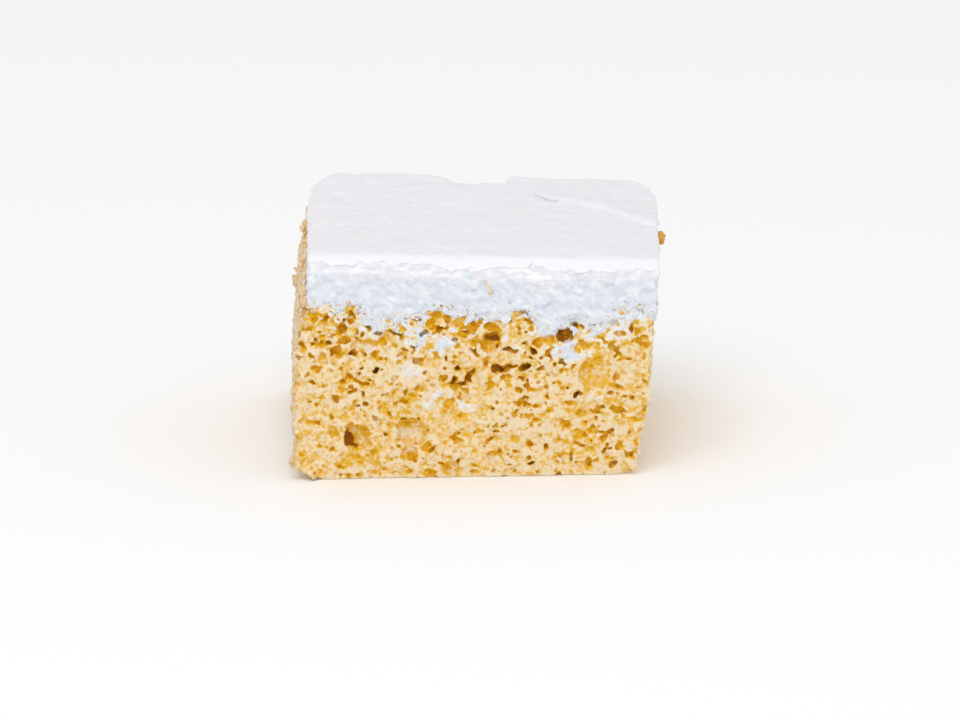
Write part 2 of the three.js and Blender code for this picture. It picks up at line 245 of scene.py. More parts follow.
# The cream: size along x and y and height of the dents in its top, and the lumps of its cut sides
TOP_DENTS = [((9.0, 3.0, 1.0), 0.08), ((3.0, 1.5, 1.0), 0.08), ((1.2, 0.8, 1.0), 0.12)]
STUCCO = [((1.4, 1.2, 0.9), 0.14), (0.6, 0.1)]
STUCCO_START = 1.5  # below the top, where they are full
CREAM_INSET = 0.2  # of its front behind the sponge's
CREAM_SLOPE = 0.75  # distance from the front, by that along y
CREAM_EDGE_ROUND = 0.8
CREAM_TOP_ROUND = 0.2
CREAM_SINK = 0.5  # into the sponge, and further in drips
CREAM_OVERLAP = 0.12  # how far it goes into solid sponge
DRIP = 1.6
DRIP_SIZE = 2.4
NOTCH_RAGGED = 0.4
NOTCH_GRAIN = (1.0, 2.5, 2.0)
NOTCH_SLOPE = 0.8  # share of the height where it deepens

# The layers that the knife left on the cream's front, by depth below its upper edge
FIRST_STEP = 2.4
FIRST_WAVES = [(7.0, 0.3), (2.4, 0.22), (0.9, 0.2), (0.5, 0.14)]
SECOND_STEP = 4.5
SECOND_WAVES = [(4.0, 0.35), (1.3, 0.3)]
STEP_HEIGHTS = (0.24, 0.12)
STEP_RUNS = (0.25, 0.6)
PEAK_X = -20.3  # where the first step has a point
PEAK_HEIGHT = 0.7
PEAK_WIDTH = 1.0
LIP_RIDGE = 0.14  # thin ridge along the upper edge
LIP_WIDTH = 0.4
BEVEL_LUMPS = 0.9  # share of the cut's lumps that the lower layer has
BEVEL_LUMP_START = 0.6
STRATA = 0.62  # spacing of the fine lines between the steps
STRATA_FADE = 0.4
STRATA_HEIGHT = 0.04
STRATA_GAIN = 0.06  # more of it at the right
STRATA_RIGHT = 25
STRATA_WAVES = [(9.0, 0.25)]
BAND_WAVES = [((1.6, 1.0, 1.0), 0.55), ((0.7, 1.0, 0.6), 0.3)]  # of the upper edge of the rough band
BAND_FADE = 1.1
BAND_START = 0.4
CRACK_START = FLAP_LINE[0][0] + 1  # the flap's edge is an open crack from here
CRACK_END = 19.0  # to here
CRACK_FADE = 2
CRACK_AWAY = 4  # distance that is added beside it
CRACK_DEPTH = 0.45
CRACK_WIDTH = 0.5

# Cream dragged over the front cut: x, z, half width, half height, amount
SMEARS = [
    (-10.0, 31.0, 3.4, 1.5, 1.9), (-13.5, 33.2, 2.2, 2.4, 1.0), (20.8, 28.8, 3.0, 1.8, 2.0),
    (25.6, 33.2, 1.6, 2.0, 0.9), (14.2, 34.6, 2.0, 2.4, 1.2), (33.4, 35.6, 2.6, 1.6, 1.0),
    (6.3, 34.4, 0.9, 2.2, 1.2), (-24.0, 35.5, 2.4, 1.2, 0.8), (-5.2, 34.2, 1.3, 1.0, 0.7),
]
FILMS = [  # thinner ones, which only whiten the crumb
    (-7.6, 19.4, 3.4, 2.2, 0.85), (-3.2, 15.8, 3.6, 1.8, 0.85), (-11.4, 16.8, 1.8, 1.2, 0.7),
    (-14.0, 24.5, 4.0, 2.0, 0.5), (29.5, 32.2, 2.4, 2.2, 0.5), (26.6, 18.1, 2.4, 0.7, 0.85),
]
SMEAR_GRAIN = [(0.55, 0.7), (1.1, 0.6), (2.4, 0.4)]
SMEAR_MOST = 1.9
SMEAR_FILL = 0.8  # share of the ragged pits that they fill
SMEAR_SLOPE = 0.6  # thickness by cover
SMEAR_THICKNESS = 0.16  # at most
SMEAR_ROOT = 0.35  # how far they go into the sponge
BARE = 0.9  # cover under which no cream lies
SHADE_AND_STAIN_BARE = 2.5  # how much of it the stain and painted shade take away
BORDER = 1.25  # cover just under the joint
BORDER_REACH = 1.7
BORDER_START = 0.6  # from the cream's left side
UPPER_FILM = 0.28  # cover of the sponge's upper part
FILM_LEVELS = (22.0, 30.0)  # between which it sets in

# What the colours follow, painted shade in the hollows among them
SOLID_WIDTH = 1.2  # over which sponge is averaged
AIR_WIDTH = 2.0
AIR_UNDER = 0.6  # depth at which air is sampled
DEPTH_LIMIT = 0.4
CRUST_SKIN = 0.1  # of the browned left side, and more at the top
CRUST_TOP = 0.9
CRUST_LEVELS = (36, 39)
CRUST_FADE = 0.8
NOWHERE = -9  # no painted line is so far away
EDGE_BEHIND = 0.3  # where the front's lines end
EDGE_BELOW = 0.5
BEVEL_FADE = 0.6
TEAR_START = 24.0  # where the flap's edge gets a painted highlight
TEAR_BEHIND = 1

# Loose crumbs: specks along the cream's lower edge, flakes on its front, lumps on its right side
SPECKS = 320
SPECK_CLUMPS = 40
SPECK_SPREAD = 2.0
SPECK_START = 4  # outside the cut
SPECK_LEVELS = (-0.3, 0.6)  # from the joint
SPECK_CLIMB = 2.4  # how far a few lie above that
SPECK_RADII = (0.08, 0.2)
SPECK_STRETCH = (0.8, 1.8)
SPECK_TINTS = (0.3, 0.75)
FLAKES = [(3.0, 43.9, (0.5, 0.25, 1.8), -0.38), (4.0, 41.9, (0.7, 0.25, 0.4), 0.3)]  # x, z, radii, tilt
FLAKE_START = 3
FLAKE_TINT = 0.05
SIDE_CRUMBS = [(-4.6, 46.3, 1.1), (-3.2, 45.3, 1.0), (-2.2, 46.2, 0.8)]  # y, z, radius
SIDE_CRUMB_OUT = 0.5
SIDE_CRUMB_WIDTH = 1.1  # by its height
SIDE_CRUMB_TILT = 0.3
SIDE_CRUMB_TINT = 0.95
CRUMB_UNEVEN = 0.25
RAY_LENGTH = 10
RAY_STEP = 0.1

# Stage, light and camera, in metres
FLOOR_SIZE = 8.0
LIGHT_PLACE = (-0.2, -0.9, 1.5)
LIGHT_AIM = (0, 0, 0.03)
LIGHT_SIZE = 1.1
LIGHT_POWER = 9.0
WORLD_LIGHT = 0.78
VIEW_ELEVATION = math.radians(15.5)
VIEW_ROLL = math.radians(-1.0)
VIEW_DISTANCE = 4.0
VIEW_WIDTH = 0.2146  # width of the picture at the front cut
VIEW_CENTRE = Vector((0.0009, FRONT * METRES, 0.0272))
VIEW_END = 50.0

BLACK = (0, 0, 0, 1)
WHITE = (1, 1, 1, 1)
RAMP_SCALE = 20.0  # from metres to a ramp's length

rng = np.random.default_rng(7)


def axis_of(i):
    """Coordinates of the grid's points along an axis, shaped to spread over the grid."""
    shape = [1, 1, 1]
    shape[i] = SHAPE[i]
    return (LOW[i] + VOXEL * np.arange(SHAPE[i])).astype(np.float32).reshape(shape)


X, Y, Z = axis_of(0), axis_of(1), axis_of(2)


def smooth(t):
    t = np.clip(t, 0, 1)
    return t * t * (3 - 2 * t)


def rise(levels, z):
    """0 up to the lower of two levels, and 1 from the upper one."""
    return smooth((z - levels[0]) / (levels[1] - levels[0]))


def hump(distance, width):
    """1 in the middle of a soft hump, falling to both sides."""
    return np.exp(-((distance / width) ** 2))


def along(points, at):
    """Straight interpolation in a short list of (at, value) points."""
    return np.interp(at, [p[0] for p in points], [p[1] for p in points]).astype(np.float32)


def soft_max(a, b, k):
    """The larger of two fields, rounded over where they are within k of each other."""
    h = np.clip(0.5 + 0.5 * (a - b) / k, 0, 1)
    return b + (a - b) * h + k * h * (1 - h)


def spread(lattice, axis, spacing):
    """Spreads values on a lattice over the grid's points along one axis, as a cubic spline."""
    at = np.arange(SHAPE[axis]) * VOXEL / spacing
    cell = np.floor(at).astype(int)
    t = at - cell
    basis = ((1 - t) ** 3, 3 * t**3 - 6 * t**2 + 4, -3 * t**3 + 3 * t**2 + 3 * t + 1, t**3)
    shape = [1, 1, 1]
    shape[axis] = -1
    return sum(
        lattice.take(cell + k, axis) * (weight / 6).astype(np.float32).reshape(shape)
        for k, weight in enumerate(basis)
    )


def noise(spacing, axes=(2, 1, 0)):
    """Smooth noise of about unit height along these axes. Spacing is its grain along x, y and z."""
    grain = spacing if isinstance(spacing, tuple) else (spacing,) * 3
    size = [int(SHAPE[i] * VOXEL / grain[i]) + 5 if i in axes else 1 for i in range(3)]
    field = rng.standard_normal(size).astype(np.float32)
    for axis in axes:
        field = spread(field, axis, grain[axis])
    return field * NOISE_GAIN ** len(axes)


def mixed(scales, axes=(2, 1, 0)):
    """Noise of several sizes, each with its height."""
    return sum(height * noise(size, axes) for size, height in scales)


def blurred(field, width):
    """The field averaged over a box of this width, twice along each axis."""
    reach = max(1, int(round(width / VOXEL / 2)))
    for axis in (0, 1, 2, 0, 1, 2):
        padded = np.concatenate(
            [np.repeat(field.take([0], axis), reach + 1, axis), field,
             np.repeat(field.take([-1], axis), reach, axis)], axis)
        total = np.cumsum(padded, axis, dtype=np.float64)
        span = 2 * reach + 1
        upper = total.take(range(span, span + SHAPE[axis]), axis)
        lower = total.take(range(SHAPE[axis]), axis)
        field = ((upper - lower) / span).astype(np.float32)
    return field


def sample(field, points):
    """The field's values at points in millimetres."""
    at = (points - LOW) / VOXEL
    cell = np.clip(np.floor(at).astype(int), 0, np.array(SHAPE) - 2)
    t = at - cell
    value = np.zeros(len(points), np.float32)
    for corner in np.ndindex(2, 2, 2):
        weight = np.prod(np.where(corner, t, 1 - t), axis=1)
        value += weight * field[tuple((cell + corner).T)]
    return value


def back_at(x):
    return BACK + BACK_SKEW * x


def joint_level(x, y):
    """Level where the sponge ends and the cream starts."""
    level = SPONGE_HEIGHT + LEFT_RISE * hump(x - CREAM_LEFT, LEFT_RISE_WIDTH)
    for height, kx, ky, phase in JOINT_WAVES:
        level = level + height * np.sin(kx * x + ky * y + phase)
    crust = CRUST_RISE * hump(x - CRUST_X, CRUST_WIDTH)
    level = level + crust * rise((FRONT, BACK), y) * smooth((BACK - y) / CRUST_FALL)
    for tx, ty, depth, radius in TONGUES:
        level = level - depth * np.exp(-((x - tx) ** 2 + (y - ty) ** 2) / radius**2)
    return level.astype(np.float32)


def notch_at(x):
    """How far the notch is open, from 0 to 1."""
    mouth = np.where(x < NOTCH_X, *NOTCH_MOUTHS)
    return 1 - smooth((np.abs(x - NOTCH_X) - NOTCH_FLAT) / (mouth - NOTCH_FLAT))


def corner_fall(side, reach, x, y):
    """How far the top falls towards a back corner, from 0 to 1."""
    sideways = x - CREAM_LEFT if side < 0 else CREAM_RIGHT - x
    return smooth(1 - (sideways + (back_at(x) - y) / 2) / reach)


def behind_flap(x, y):
    """Distance along y behind the torn flap's edge."""
    return y - FRONT - along(FLAP_LINE, x)


def cream_top(x, y):
    """Level of the smoothed top of the cream, without the bevel at the front."""
    behind = behind_flap(x, y)
    on_flap = smooth((x - FLAP_LINE[0][0]) / FLAP_START) * smooth(behind / FLAP_EDGE + 0.5)
    flap = FLAP_STEP * on_flap * np.clip(1 - behind / FLAP_FADE, 0, 1)
    notch = NOTCH_DROP * notch_at(x) * smooth(1 - (back_at(x) - y) / (2 * NOTCH_DEPTH))
    corners = sum(drop * corner_fall(side, reach, x, y) for side, reach, drop, _ in CORNERS)
    return (TOP_LEVEL + TOP_TILT * x + flap - notch - corners).astype(np.float32)


def wall_field():
    """Distance outside the four cuts of the sponge."""
    sides = np.maximum(along(LEFT_EDGE, Z) - X, X - along(RIGHT_EDGE, Z))
    ends = np.maximum(FRONT - Y, Y - back_at(X))
    corner = hump(sides - ends, EDGE_REACH) * (np.maximum(sides, ends) > -EDGE_REACH)
    return soft_max(sides, ends, EDGE_ROUND) + corner * EDGE_RAGGED * mixed(EDGE_GRAIN)


def cut_places(count, levels):
    """Random places on the four cuts between two levels, and the way in at each."""
    lengths = np.array(CUT_LENGTHS)
    face = rng.choice(4, count, p=lengths / lengths.sum())
    share = rng.random(count)
    z = rng.uniform(*levels, count)
    left, right = along(LEFT_EDGE, z), along(RIGHT_EDGE, z)
    x = np.choose(face, [left + share * (right - left)] * 2 + [left, right])
    y = np.choose(face, [np.full(count, FRONT), back_at(x)] + [FRONT + share * (BACK - FRONT)] * 2)
    return np.stack([x, y, z], 1), INWARD[face]


# The next four give centre, radii, share of the warp and stain with painted shade, bubble by bubble


def large_bubbles():
    for x, z, across, tall, sink, *_ in FRONT_BUBBLES:
        deep = LARGE_DEPTH * (across + tall) / 2
        yield np.array([x, FRONT + LARGE_DEPTH * sink, z]), np.array([across, deep, tall]), LARGE_WARP, 0.0


def front_pits():
    for x, z, across, tall, dark in FRONT_PITS:
        size = LOW_PIT_SIZE if z < LOW_PITS else 1.0
        deep = PIT_LEAST + PIT_SHARE * (across + tall) / 2
        yield np.array([x, FRONT + PIT_SINK, z]), size * np.array([across, deep, tall]), PIT_WARP, dark


def scattered_bubbles():
    """Random bubbles at the four cuts, more of them higher up."""
    for density, radii, levels in BUBBLE_KINDS:
        area = sum(CUT_LENGTHS) * (levels[1] - levels[0])
        places, inward = cut_places(int(density * area), levels)
        radius = radii[0] + (radii[1] - radii[0]) * rng.random(len(places)) ** RADIUS_SKEW
        depth = rng.uniform(*BUBBLE_DEPTHS, len(places)) * radius
        stretch = rng.uniform(*BUBBLE_STRETCH, (len(places), 2))
        centres = places + inward * depth[:, None]
        share = LOWEST_SHARE + (1 - LOWEST_SHARE) * rise(THIN_LEVELS, places[:, 2])
        kept = rng.random(len(places)) < share
        for centre, r, (sx, sy) in zip(centres[kept], radius[kept], stretch[kept]):
            if clear_of_large(centre, r):
                yield centre, np.array([r * sx, r * sy, r * BUBBLE_FLATNESS]), min(1.0, r / FULL_WARP), 0.0


def shoulder_lumps():
    """Crumbs that stand out along the top of the left side, higher towards the back."""
    start, end = SHOULDER_SPAN
    for share in np.linspace(0, 1, SHOULDER_LUMPS):
        level = SHOULDER_LEVEL + SHOULDER_RISE * share**2
        centre = np.array([SHOULDER_X, FRONT + start + (end - start) * share, level])
        centre = centre + rng.uniform(-1, 1, 3) * LUMP_SCATTER
        yield centre, rng.uniform(*LUMP_RADII) * np.ones(3), LUMP_WARP, 0.0
    for y, z, radius in LARGER_LUMPS:
        yield np.array([LARGER_LUMP_X, y, z]), radius * np.ones(3), LUMP_WARP, 0.0


def clear_of_large(centre, radius):
    """Whether a bubble is clear of the front's large ones and smears."""
    if centre[1] > FRONT + CLEAR_DEPTH:
        return True
    return all(
        math.hypot((centre[0] - x) / (across + radius), (centre[2] - z) / (tall + radius)) > CLEAR_SHARE
        for x, z, across, tall, *_ in FRONT_BUBBLES + SMEARS + FILMS
    )


def air_field(bubbles, warp):
    """Distance outside the nearest of many egg-shaped bubbles, bent by the warp, and their stain, with
    painted shade.
    """
    air = np.full(SHAPE, FAR, np.float32)
    shade_and_stain = np.zeros(SHAPE, np.float32)
    reach = WARP_MOST * sum(strength for _, strength in WARP) + AIR_MARGIN
    for centre, radii, bend, dark in bubbles:
        low = np.maximum(np.floor((centre - radii - reach - LOW) / VOXEL).astype(int), 0)
        high = np.minimum(np.ceil((centre + radii + reach - LOW) / VOXEL).astype(int), SHAPE)
        if (high <= low).any():
            continue
        window = tuple(slice(a, b) for a, b in zip(low, high))
        dx = (X[window[0]] + bend * warp[0][window] - centre[0]) / radii[0]
        dy = (Y[:, window[1]] + bend * warp[1][window] - centre[1]) / radii[1]
        dz = (Z[:, :, window[2]] + bend * warp[2][window] - centre[2]) / radii[2]
        distance = (np.sqrt(dx * dx + dy * dy + dz * dz) - 1) * radii.min()
        np.minimum(air[window], distance, out=air[window])
        # the dark ring around each pit is stain and painted shade
        if dark:
            np.maximum(shade_and_stain[window], dark * smooth(1 - distance / SHADE_AND_STAIN_REACH), out=shade_and_stain[window])
    return air, shade_and_stain


def bubble_shade_and_stain():
    """The darker sides and rims, painted shade with stain, and paler floors, painted light, of the front's
    large bubbles.
    """
    wobble = mixed(SHADE_AND_STAIN_WOBBLE, axes=(2, 0))
    shade_and_stain = np.zeros_like(wobble)
    for x, z, across, tall, _, dark, angle, pale in FRONT_BUBBLES:
        aside, above = (X - x) / across, (Z - z) / tall
        out = np.hypot(aside, above) + wobble
        turn = math.radians(angle)
        # painted shade on the side the angle points to, painted light on the floor opposite
        shade = smooth((aside * math.cos(turn) + above * math.sin(turn) + wobble) / SHADE_FADE)
        rim = RIM_SHARE * hump(out - RIM_PLACE, RIM_WIDTH)
        inside = smooth((RIM_END - out) / RIM_FADE)
        floor = smooth((FLOOR_END - out) / FLOOR_FADE)
        shade_and_stain += inside * dark * np.maximum(shade, rim) - pale * floor * (1 - shade)
    return shade_and_stain * (Y < FRONT + SHADE_AND_STAIN_DEPTH)


def smear_field(smears):
    """Cream that the knife dragged over the front cut, by x and z."""
    return sum(
        amount * np.exp(-(((X - x) / wide) ** 2) - ((Z - z) / tall) ** 2)
        for x, z, wide, tall, amount in smears
    )


def sponge_fields():
    """The sponge's field, and the fields that its colours come from."""
    walls = wall_field()
    near_cut = hump(np.minimum(walls, 0), CUT_REACH)
    ragged = near_cut * np.clip(mixed(JOINT_RAGGED), *JOINT_LIMITS)
    pores = mixed(CARVE_NOISE)
    limit = CARVE_LIMITS[0] + (CARVE_LIMITS[1] - CARVE_LIMITS[0]) * rise(CARVE_LEVELS, Z)
    carved = np.clip(CARVE_SLOPE * (pores - limit), 0, CARVE_DEPTH) * near_cut
    carved = carved * smooth((joint + ragged - Z) / CARVE_START)
    carved = carved * (1 - SMEAR_FILL * np.clip(smear_field(SMEARS + FILMS), 0, 1) * (Y < 0))
    warp = [mixed(WARP) for _ in range(3)]
    air, shade_and_stain = air_field([*large_bubbles(), *front_pits(), *scattered_bubbles()], warp)
    lumps, _ = air_field(shoulder_lumps(), warp)
    del warp
    air = np.maximum(air, Z - joint - ragged + AIR_STOP)
    block = soft_max(walls + mixed(CRUMB) + carved, Z - joint - ragged, TOP_ROUND)
    block = np.minimum(soft_max(block, -air, BUBBLE_ROUND), lumps)
    block += near_cut * mixed(GRAIN)
    return np.maximum(block, -Z), walls, ragged, pores, carved, air, shade_and_stain


def step_lines():
    """Depths below the upper edge where the two layers on the cream's front end, along x."""
    first = FIRST_STEP + mixed(FIRST_WAVES, axes=(0,))
    first = first - PEAK_HEIGHT * hump(X - PEAK_X, PEAK_WIDTH)
    return first, SECOND_STEP + mixed(SECOND_WAVES, axes=(0,))


def front_relief(depth, first, second):
    """How far the layers of the cream's front stand out, by x and the depth below its upper edge."""
    relief = STEP_HEIGHTS[0] * (1 - smooth((depth - first) / STEP_RUNS[0] + 0.5))
    relief = relief + STEP_HEIGHTS[1] * (1 - smooth((depth - second) / STEP_RUNS[1] + 0.5))
    between = smooth((depth - first) / STRATA_FADE) * smooth((second - depth) / STRATA_FADE)
    strength = STRATA_HEIGHT + STRATA_GAIN * smooth(X / STRATA_RIGHT)
    wave = np.sin(2 * math.pi * (depth + mixed(STRATA_WAVES, axes=(0,))) / STRATA)
    return relief + strength * wave * between


def band_field(depth, second):
    """Where the cream's front is rough and painted in bluish shade: 0 on its smooth upper part, 1 below."""
    patchy = depth - second + mixed(BAND_WAVES, axes=(2, 0))
    return smooth(patchy / BAND_FADE + BAND_START)


def crack_distance(x, y):
    """Distance along y from the open crack where the torn flap starts, and far away beside it."""
    beside = np.clip((x - CRACK_END) / CRACK_FADE, 0, 1) + np.clip((CRACK_START - x) / CRACK_FADE, 0, 1)
    return np.abs(behind_flap(x, y)) + CRACK_AWAY * beside


def cream_sides(share_up):
    """Distance outside the cream's left, right and back."""
    corner_share = smooth(((Y - FRONT) / (back_at(X) - FRONT) - CORNER_START) / (1 - CORNER_START))
    left = CREAM_LEFT + CREAM_LEAN * share_up + CORNERS[0][3] * corner_share
    right = CREAM_RIGHT - CREAM_FLARE * (1 - share_up) - CORNERS[1][3] * corner_share
    torn = notch_at(X + NOTCH_RAGGED * noise(NOTCH_GRAIN, axes=(2, 1)))
    back = back_at(X) - NOTCH_DEPTH * torn * smooth(share_up / NOTCH_SLOPE)
    return np.maximum(np.maximum(left - X, X - right), Y - back)


def cream_layer(first, second, band):
    """Field of the layer of cream, without regard to the sponge under it."""
    top = cream_top(X, Y) + mixed(TOP_DENTS, axes=(1, 0))
    top = top + LIP_RIDGE * hump(Y - FRONT - BEVEL_RUN, LIP_WIDTH)
    top = top - CRACK_DEPTH * hump(crack_distance(X, Y), CRACK_WIDTH)
    drop = edge - Z
    run = BEVEL_RUN * (1 - np.clip(drop / BEVEL_DROP, 0, 1)) ** BEVEL_ROUND
    stucco = mixed(STUCCO)
    lumpy = np.maximum(band, BEVEL_LUMPS * smooth((drop - first) / BEVEL_LUMP_START))
    ahead = FRONT + CREAM_INSET + run - front_relief(drop, first, second) - Y
    front = CREAM_SLOPE * ahead + stucco * lumpy
    sides = cream_sides(np.clip((Z - joint) / (top - joint), 0, 1))
    sides = sides + stucco * smooth((top - Z) / STUCCO_START)
    return soft_max(soft_max(sides, front, CREAM_EDGE_ROUND), Z - top, CREAM_TOP_ROUND)


def cover_field():
    """How much cream was dragged over the cuts of the sponge, without and with the thinnest film."""
    border = BORDER * hump(np.maximum(joint - Z, 0), BORDER_REACH) * (X > CREAM_LEFT + BORDER_START)
    film = UPPER_FILM * rise(FILM_LEVELS, Z)
    grain = np.minimum(1 + mixed(SMEAR_GRAIN), SMEAR_MOST)
    cover = (smear_field(SMEARS) * (Y < 0) + border) * grain
    return cover, cover + (film + smear_field(FILMS) * (Y < 0)) * grain


def cream_field_of(layer, cover, sponge_field, ragged, carved, shade_and_stain):
    """Field of the cream: its layer, down into the sponge's uneven top, and its smears."""
    floor = joint + ragged - CREAM_SINK - DRIP * np.maximum(noise(DRIP_SIZE), 0)
    layer = np.maximum(np.maximum(layer, floor - Z), -CREAM_OVERLAP - sponge_field)
    thickness = np.clip(SMEAR_SLOPE * (cover - SHADE_AND_STAIN_BARE * shade_and_stain - BARE), -1, SMEAR_THICKNESS) - carved
    smeared = np.maximum(np.maximum(sponge_field - thickness, -SMEAR_ROOT - sponge_field), Z - joint)
    return np.minimum(layer, smeared)


def large_parts(count, faces, least):
    """Marks the points of a surface's connected parts with at least so many points, or of the largest."""
    label = np.arange(count)
    ends = np.concatenate([faces[:, [i, (i + 1) % 4]] for i in range(4)])
    while True:
        lowest = np.minimum(label[ends[:, 0]], label[ends[:, 1]])
        before = label.copy()
        np.minimum.at(label, ends[:, 0], lowest)
        np.minimum.at(label, ends[:, 1], lowest)
        label = label[label]
        label = label[label]
        if (label == before).all():
            break
    size = np.bincount(label, minlength=count)
    return size[label] >= min(least, size.max())


def in_scene(name, data):
    """A new object of this mesh, light or camera, in the scene."""
    made = bpy.data.objects.new(name, data)
    scene.collection.objects.link(made)
    return made


def object_of(name, places, faces):
    """A smooth object in the scene, from points in metres."""
    mesh = bpy.data.meshes.new(name)
    mesh.from_pydata(places.tolist(), [], faces)
    mesh.shade_smooth()
    return in_scene(name, mesh)


def meshed(field, name, most, least):
    """An object on the surface where the field is zero, without parts of fewer points than least."""
    grid = openvdb.FloatGrid(FAR)
    grid.copyFromArray(np.ascontiguousarray(np.clip(field, -FAR, FAR)))
    points, triangles, quads = grid.convertToPolygons(isovalue=0.0, adaptivity=0.02)
    faces = np.concatenate([quads, np.column_stack([triangles, triangles[:, 2]])]).astype(int)
    faces = faces[large_parts(len(points), faces, least)[faces[:, 0]]]
    used, faces = np.unique(faces, return_inverse=True)
    rows = [row[:3] if row[2] == row[3] else row for row in faces.reshape(-1, 4).tolist()]
    piece = object_of(name, (LOW + points[used] * VOXEL) * METRES, rows)
    count = len(piece.data.loops) - 2 * len(piece.data.polygons)
    if count > most:
        modifier = piece.modifiers.new("thin", "DECIMATE")
        modifier.ratio = most / count
        bpy.context.view_layer.objects.active = piece
        bpy.ops.object.modifier_apply(modifier=modifier.name)
    return piece


def quartered(piece):
    """Splits a piece in four, along the diagonals of its plan."""
    mesh = piece.data
    mesh.calc_loop_triangles()
    corners = triples(mesh.loop_triangles, "vertices", np.int32)
    places = points_of(piece) * METRES
    centre = places[corners].mean(axis=1)
    aslant, ahead = centre[:, 0] / abs(LEFT_EDGE[2][1]), centre[:, 1] / abs(FRONT)
    lengthwise = np.abs(ahead) >= np.abs(aslant)
    quarters = {
        "front": lengthwise & (ahead < 0), "back": lengthwise & (ahead >= 0),
        "left": ~lengthwise & (aslant < 0), "right": ~lengthwise & (aslant >= 0),
    }
    made = []
    for side, mask in quarters.items():
        used, faces = np.unique(corners[mask], return_inverse=True)
        made.append(object_of(f"{piece.name}_{side}", places[used], faces.reshape(-1, 3).tolist()))
    bpy.data.objects.remove(piece)
    return made


def triples(items, name, kind=np.float32):
    """A value of each of a mesh's items, three numbers a row."""
    values = np.zeros(3 * len(items), kind)
    items.foreach_get(name, values)
    return values.reshape(-1, 3)


def points_of(piece):
    """A piece's points, in millimetres."""
    return triples(piece.data.vertices, "co") * MILLIMETRES


def normals_of(piece):
    return triples(piece.data.vertex_normals, "vector")


def paint(piece, name, values):
    """Puts a value on each point, for the materials to read."""
    attribute = piece.data.attributes.new(name, "FLOAT", "POINT")
    attribute.data.foreach_set("value", np.ascontiguousarray(values, np.float32))


def paint_sponge(piece, fields, airy):
    """The fields, how far the surface turns from its cut or faces down, both painted shade, and the browned
    left side.
    """
    spots, normals = points_of(piece), normals_of(piece)
    x, y, z = spots.T
    behind = np.stack([y - FRONT, back_at(x) - y, x - along(LEFT_EDGE, z), along(RIGHT_EDGE, z) - x])
    facing = (normals * -INWARD[behind.argmin(axis=0)]).sum(axis=1)
    inside = behind[2] - CRUST_SKIN - CRUST_TOP * rise(CRUST_LEVELS, z)
    for name, field in fields.items():
        paint(piece, name, sample(field, spots))
    paint(piece, "airy", sample(airy, spots - AIR_UNDER * normals))
    # painted shade: walls that turn from the cut and surfaces that face down darken the crumb's colour
    paint(piece, "steep", np.where(z < BASE, 0, 1 - np.clip(facing, 0, 1)))
    paint(piece, "under", np.where(z < BASE, 0, np.clip(-normals[:, 2], 0, 1)))
    paint(piece, "crust", 1 - smooth(inside / CRUST_FADE))


def paint_cream(piece, band, first):
    """The cream's rough band, its bevel, and distances from the lines on it: painted shade, light, shadow
    lines and a highlight follow them.
    """
    spots = points_of(piece)
    x, y, z = spots.T
    fall = cream_top(x, np.float32(FRONT + BEVEL_RUN)) - z
    behind_edge = y - FRONT - BEVEL_RUN
    below_first = fall - np.interp(x, X.ravel(), first.ravel())
    on_tear = (x > TEAR_START) & (behind_edge > TEAR_BEHIND)
    paint(piece, "band", sample(np.broadcast_to(band, SHAPE), spots))
    # bevel: share below the top, which the colour paints whiter as painted light
    paint(piece, "bevel", smooth((cream_top(x, y) - z) / BEVEL_FADE))
    paint(piece, "step", np.where(behind_edge < EDGE_BEHIND, below_first, NOWHERE))
    paint(piece, "lip", np.where(fall < EDGE_BELOW, behind_edge, NOWHERE))
    paint(piece, "crack", crack_distance(x, y))
    paint(piece, "tear", np.where(on_tear, behind_flap(x, y), NOWHERE))
    paint(piece, "low", np.abs(z - joint_level(x, y)))


# The fields
joint = joint_level(X, Y)
edge = cream_top(X, np.float32(FRONT + BEVEL_RUN))
first_line, second_line = step_lines()
band = band_field(edge - Z, second_line)
sponge_field, walls, ragged, pores, carved, air, shade_and_stain = sponge_fields()
cover, film = cover_field()
layer = cream_layer(first_line, second_line, band)
cream_field = cream_field_of(layer, cover, sponge_field, ragged, carved, shade_and_stain)
del layer, cover, ragged
cake_field = np.minimum(cream_field, sponge_field)

# The meshes
cream = meshed(cream_field, "whipped_cream", CREAM_TRIANGLES, SMALLEST_SMEAR)
del cream_field
sponge = quartered(meshed(sponge_field, "sponge_cut", SPONGE_TRIANGLES, math.inf))

# What the materials read
# pit, depth and carved darken the crumb in its hollows: golden crumb and painted shade
hollows = {
    "pit": blurred((sponge_field < 0).astype(np.float32), SOLID_WIDTH),
    "depth": np.clip(-walls, -DEPTH_LIMIT, DEPTH_LIMIT),
    "carved": carved,
    "film": film,
    "pores": pores,
    "shade_and_stain": shade_and_stain + bubble_shade_and_stain(),
}
airy_field = blurred((air < 0).astype(np.float32), AIR_WIDTH)
for piece in sponge:
    paint_sponge(piece, hollows, airy_field)
paint_cream(cream, band, first_line)
del hollows, airy_field, walls, pores, carved, air, shade_and_stain, film, sponge_field


def srgb(red, green, blue):
    """A colour given from 0 to 255, as the shader wants it."""
    def linear(c):
        c = c / 255
        return c / 12.92 if c < 0.04045 else ((c + 0.055) / 1.055) ** 2.4
    return linear(red), linear(green), linear(blue), 1.0


